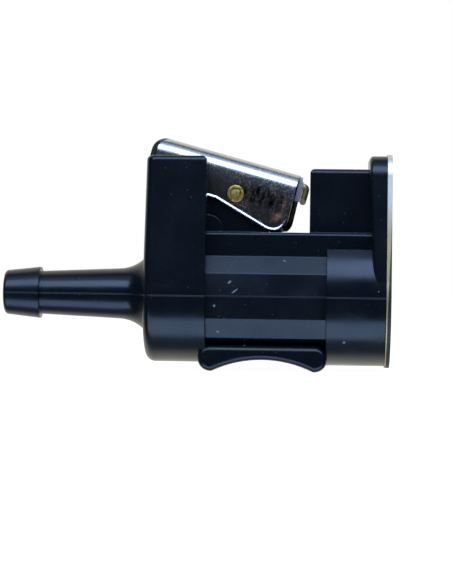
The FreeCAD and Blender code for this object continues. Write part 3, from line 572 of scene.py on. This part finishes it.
bpy.context.view_layer.objects.active = lever
tumbled = lever.modifiers.new("tumbled", "BEVEL")
tumbled.width = edge_round
tumbled.segments = 3
tumbled.limit_method = "ANGLE"
tumbled.angle_limit = math.radians(50)
bpy.ops.object.modifier_apply(modifier=tumbled.name)
lever.select_set(True)
bpy.ops.object.shade_smooth_by_angle(angle=math.radians(30))
settle(lever, pivot_place, slope)

# Bright nickel plating over steel: mirror-like, duller towards the bend and finely speckled. The near
# cheek has dark jagged tarnish across its middle, its streaks running up and down, and rust at the nose.
plated, tree, place = new_material("bright_nickel_plating")
on_lever = add_node(
    tree, "ShaderNodeMapping", {"vector_type": "TEXTURE"},
    {"Vector": place, "Location": pivot_place, "Rotation": (0, slope, 0)},
).outputs[0]
place_on = add_node(tree, "ShaderNodeSeparateXYZ", inputs={"Vector": on_lever}).outputs
off_middle = add_node(tree, "ShaderNodeMath", {"operation": "ABSOLUTE"}, {0: place_on["Y"]}).outputs[0]
spots = add_node(
    tree, "ShaderNodeTexNoise",
    inputs={"Vector": on_lever, "Scale": 1 / (0.55 * MM), "Detail": 4.0, "Roughness": 0.65},
).outputs["Fac"]
streaks = (1 / (0.7 * MM), 1 / (3 * MM), 1 / (2.2 * MM))
jagged = add_node(tree, "ShaderNodeMapping", inputs={"Vector": on_lever, "Scale": streaks})
blots = add_node(
    tree, "ShaderNodeTexNoise",
    inputs={"Vector": jagged.outputs[0], "Scale": 1.0, "Detail": 5.0, "Roughness": 0.6},
).outputs["Fac"]
brown = add_node(
    tree, "ShaderNodeTexNoise", inputs={"Vector": on_lever, "Scale": 1 / (3 * MM), "Detail": 3.0}
).outputs["Fac"]
off_tarnish = from_oval(tree, on_lever, 5.2, 0.9, 6.2, 2.3)
off_corner = from_oval(tree, on_lever, 9.7, -2.3, 1.9, 0.95, -40)
off_streak = from_oval(tree, on_lever, 10.3, 0.6, 0.7, 2.6)

# the amounts that mix the finish: three plain roughnesses, then what each of the others follows, the
# two limits that it changes between, and what it is at each
amount = {"plating_roughness": 0.15, "speckle_roughness": 0.13, "edge_roughness": 0.35}
for name, follows, low, high, at_low, at_high in (
    ("near_side", place_on["Y"], -1 * MM, 1 * MM, 1.0, 0.0),
    ("speckle", spots, 0.42, 0.68, 0.0, 1.0),
    ("off_tail", place_on["X"], -5 * MM, 2 * MM, 0.35, 1.0),
    ("haze", place_on["Z"], -1 * MM, 4.6 * MM, 0.0, 0.09),
    ("at_nose", place_on["X"], 11.8 * MM, 12.0 * MM, 0.0, 1.0),
    ("on_tab", off_middle, 3.5 * MM, 3.7 * MM, 1.0, 0.0),
    ("brownish", brown, 0.35, 0.65, 0.0, 1.0),
    ("blotted", blots, 0.38, 0.62, 0.0, 1.0),
    ("in_tarnish", off_tarnish, 0.55, 1.1, 1.0, 0.0),
    ("corner_rust", off_corner, 0.1, 1.1, 0.85, 0.0),
    ("streak_rust", off_streak, 0.1, 1.1, 0.3, 0.0),
    ("rust_grain", spots, 0.3, 0.6, 0.35, 1.0),
    # the next three find the channel's inside, which gets painted shade
    ("in_cheeks", off_middle, 5.8 * MM, 5.95 * MM, 1.0, 0.0),
    ("under_top", place_on["Z"], 6.1 * MM, 6.3 * MM, 1.0, 0.0),
    ("behind_nose", place_on["X"], 11.8 * MM, 11.9 * MM, 1.0, 0.0),
):
    amount[name] = add_node(
        tree, "ShaderNodeMapRange", {"interpolation_type": "SMOOTHSTEP"},
        {"Value": follows, "From Min": low, "From Max": high, "To Min": at_low, "To Max": at_high},
    ).outputs["Result"]
# and how they act together, each from two named before it
for name, operation, first, second in (
    ("speckle_off_tail", "MULTIPLY", "speckle", "off_tail"),
    ("speckled", "MULTIPLY", "speckle_off_tail", "speckle_roughness"),
    ("tab_edge", "MULTIPLY", "at_nose", "on_tab"),
    ("cut_edge", "MULTIPLY", "tab_edge", "edge_roughness"),
    ("duller", "ADD", "haze", "cut_edge"),
    ("uneven", "ADD", "speckled", "duller"),
    ("roughness", "ADD", "uneven", "plating_roughness"),
    ("tarnish", "MULTIPLY", "blotted", "in_tarnish"),
    ("near_tarnish", "MULTIPLY", "tarnish", "near_side"),
    ("rust", "MAXIMUM", "corner_rust", "streak_rust"),
    ("near_rust", "MULTIPLY", "rust", "near_side"),
    ("grainy_rust", "MULTIPLY", "near_rust", "rust_grain"),
    ("in_channel", "MULTIPLY", "in_cheeks", "under_top"),
    ("inside", "MULTIPLY", "in_channel", "behind_nose"),
):
    amount[name] = add_node(
        tree, "ShaderNodeMath", {"operation": operation}, {0: amount[first], 1: amount[second]}
    ).outputs[0]

tinted = add_node(
    tree, "ShaderNodeMix", {"data_type": "RGBA"},
    {"Factor": amount["brownish"], "A": linear("#BDC6DC"), "B": linear("#C8C7D2")},
)
skin = add_node(
    tree, "ShaderNodeMix", {"data_type": "RGBA"},
    {"Factor": amount["near_tarnish"], "A": tinted.outputs["Result"], "B": linear("#2B2E37")},
)
metal = add_node(
    tree, "ShaderNodeBsdfPrincipled",
    inputs={"Base Color": skin.outputs["Result"], "Metallic": 1.0, "Roughness": amount["roughness"]},
)
rust = add_node(
    tree, "ShaderNodeBsdfPrincipled",
    inputs={"Base Color": linear("#80503A"), "Roughness": 0.7, "IOR": 1.5},
)
rusted = add_node(
    tree, "ShaderNodeMixShader", inputs={0: amount["grainy_rust"], 1: metal.outputs[0], 2: rust.outputs[0]}
)
# inside the channel the sheet is dull and painted dark olive: painted shade, where the cheeks and the top
# shade it
painted_shade_metal = add_node(
    tree, "ShaderNodeBsdfPrincipled",
    inputs={"Base Color": linear("#33332E"), "Metallic": 0.6, "Roughness": 0.55},
)
inside_shaded = add_node(
    tree, "ShaderNodeMixShader", inputs={0: amount["inside"], 1: rusted.outputs[0], 2: painted_shade_metal.outputs[0]}
)
add_node(tree, "ShaderNodeOutputMaterial", inputs={"Surface": inside_shaded.outputs[0]})
lever.data.materials.clear()
lever.data.materials.append(plated)
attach(lever, "lever")
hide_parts("latch_lever")


# Pivot pin: a brass rod pushed through the cheeks and the two ears of the body, its ends chamfered and
# dented where they were staked, with a low crown left at the middle of each dent.
pin_radius = 1.8 * MM
pin_half = 7.1 * MM
chamfer = 0.22 * MM
rim = 0.4 * MM
dent_wall, dent_depth = 0.1 * MM, 0.32 * MM
crown, crown_height = 0.45 * MM, 0.12 * MM
bpy.ops.object.select_all(action="DESELECT")
bpy.ops.mesh.primitive_cylinder_add(
    vertices=56, radius=pin_radius, depth=pin_half * 2, location=(0, 0, 0),
    rotation=(math.radians(90), 0, 0),
)
pin = bpy.context.object
pin.name = "staked_pin"
bpy.ops.object.transform_apply(location=True, rotation=True, scale=True)
bpy.ops.object.mode_set(mode="EDIT")
pick(
    "EDGE",
    lambda edge: at(abs(edge.verts[0].co.y), pin_half) and at(edge.verts[0].co.y, edge.verts[1].co.y),
)
bpy.ops.mesh.bevel(offset=chamfer, segments=3, affect="EDGES")
pick("FACE", lambda face: abs(face.normal.y) > 0.99)
bpy.ops.mesh.inset(thickness=rim, use_individual=True)
bpy.ops.mesh.inset(thickness=dent_wall, depth=-dent_depth, use_individual=True)
bpy.ops.mesh.inset(thickness=crown, depth=crown_height, use_individual=True)
bpy.ops.object.mode_set(mode="OBJECT")
bpy.ops.object.shade_smooth_by_angle(angle=math.radians(40))
settle(pin, pivot_place, 0.0)

# Brass gone dull in use: greenish yellow, grainy and darker in its pits
brass, tree, place = new_material("dull_brass")
pits = add_node(
    tree, "ShaderNodeTexNoise", inputs={"Vector": place, "Scale": 1 / (0.5 * MM), "Detail": 4.0}
)
shade = add_node(
    tree, "ShaderNodeMapRange",
    inputs={"Value": pits.outputs["Fac"], "From Min": 0.35, "From Max": 0.65, "To Min": 0.0, "To Max": 1.0},
)
tint = add_node(
    tree, "ShaderNodeMix", {"data_type": "RGBA"},
    {"Factor": shade.outputs["Result"], "A": linear("#7D6E3F"), "B": linear("#CDB970")},
)
pitted = add_node(
    tree, "ShaderNodeBump", inputs={"Height": pits.outputs["Fac"], "Strength": 0.5, "Distance": 0.08 * MM}
)
metal = add_node(
    tree, "ShaderNodeBsdfPrincipled",
    inputs={
        "Base Color": tint.outputs["Result"], "Metallic": 1.0, "Roughness": 0.5,
        "Normal": pitted.outputs["Normal"],
    },
)
add_node(tree, "ShaderNodeOutputMaterial", inputs={"Surface": metal.outputs[0]})
pin.data.materials.clear()
pin.data.materials.append(brass)
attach(pin, "connector")
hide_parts("pivot_pin")


# Torsion spring: wound from one length of wire on the pin between the ears. Its front leg goes through
# the lever's nose tab, down and into a short hook, and its rear leg stands on the deck.
wire = 0.68 * MM
coil = 2.65 * MM
pitch = 1.42 * MM
turns = 3.25
coil_steps = 120
foot = 7.65 * MM
leg_start = 1.8 * MM
kink_x = front - 1.8 * MM
tab_gap = 0.12 * MM
hook_x = nose + tab_gap + wire
hook_low = 2.2 * MM
hook = 1.3 * MM
turned = math.radians(360 * turns) + slope
down = Vector((math.sin(slope), 0, -math.cos(slope)))

# the wire's middle line, from the hook's end to the foot of the rear leg
route = [
    Vector((hook_x, leg_side - hook, hook_low)), Vector((hook_x, leg_side, hook_low)),
    Vector((hook_x, leg_side, leg_height)), Vector((kink_x, leg_side, leg_height)),
    Vector((leg_start, leg_side, coil)),
]
for step in range(coil_steps + 1):
    angle = turned * step / coil_steps
    along = leg_side + pitch * angle / math.tau
    route.append(Vector((-math.sin(angle) * coil, along, math.cos(angle) * coil)))
route.append(route[-1] + down * foot)

bpy.ops.object.select_all(action="DESELECT")
bpy.ops.mesh.primitive_circle_add(vertices=8, radius=coil)
spring = bpy.context.object
spring.name = "torsion_spring"
bpy.ops.object.mode_set(mode="EDIT")
shape = bmesh.from_edit_mesh(spring.data)
bmesh.ops.delete(shape, geom=shape.verts[:], context="VERTS")
chain = [shape.verts.new(point) for point in route]
for first, second in zip(chain, chain[1:]):
    shape.edges.new((first, second))
shape.verts.ensure_lookup_table()
bmesh.update_edit_mesh(spring.data)
# the front leg's corners are rounded, each bend starting 0.7 of its radius before the corner
run_up = 0.7
for number, radius in ((1, 0.8), (2, 0.9), (3, 1.8), (4, 1.5)):
    corner = route[number].copy()
    pick("VERT", lambda vert: (vert.co - corner).length < 0.001 * MM)
    bpy.ops.mesh.bevel(offset=radius * run_up * MM, segments=6, affect="VERTICES")
bpy.ops.object.mode_set(mode="OBJECT")
bpy.ops.object.convert(target="CURVE")
spring.data.bevel_depth = wire
spring.data.bevel_resolution = 5
spring.data.use_fill_caps = True
bpy.ops.object.convert(target="MESH")
spring = bpy.context.object
bpy.ops.object.shade_smooth_by_angle(angle=math.radians(50))
settle(spring, pivot_place, slope)

# Spring wire with a yellow zinc finish gone khaki, satin, darker where it has rubbed
khaki, tree, place = new_material("yellow_zinc_spring_wire")
rubbed = add_node(
    tree, "ShaderNodeTexNoise", inputs={"Vector": place, "Scale": 1 / (0.9 * MM), "Detail": 3.0}
)
tint = add_node(
    tree, "ShaderNodeMix", {"data_type": "RGBA"},
    {"Factor": rubbed.outputs["Fac"], "A": linear("#A69C6C"), "B": linear("#DCCE9C")},
)
metal = add_node(
    tree, "ShaderNodeBsdfPrincipled",
    inputs={"Base Color": tint.outputs["Result"], "Metallic": 1.0, "Roughness": 0.5},
)
add_node(tree, "ShaderNodeOutputMaterial", inputs={"Surface": metal.outputs[0]})
spring.data.materials.clear()
spring.data.materials.append(khaki)
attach(spring, "connector")
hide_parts("latch_spring")
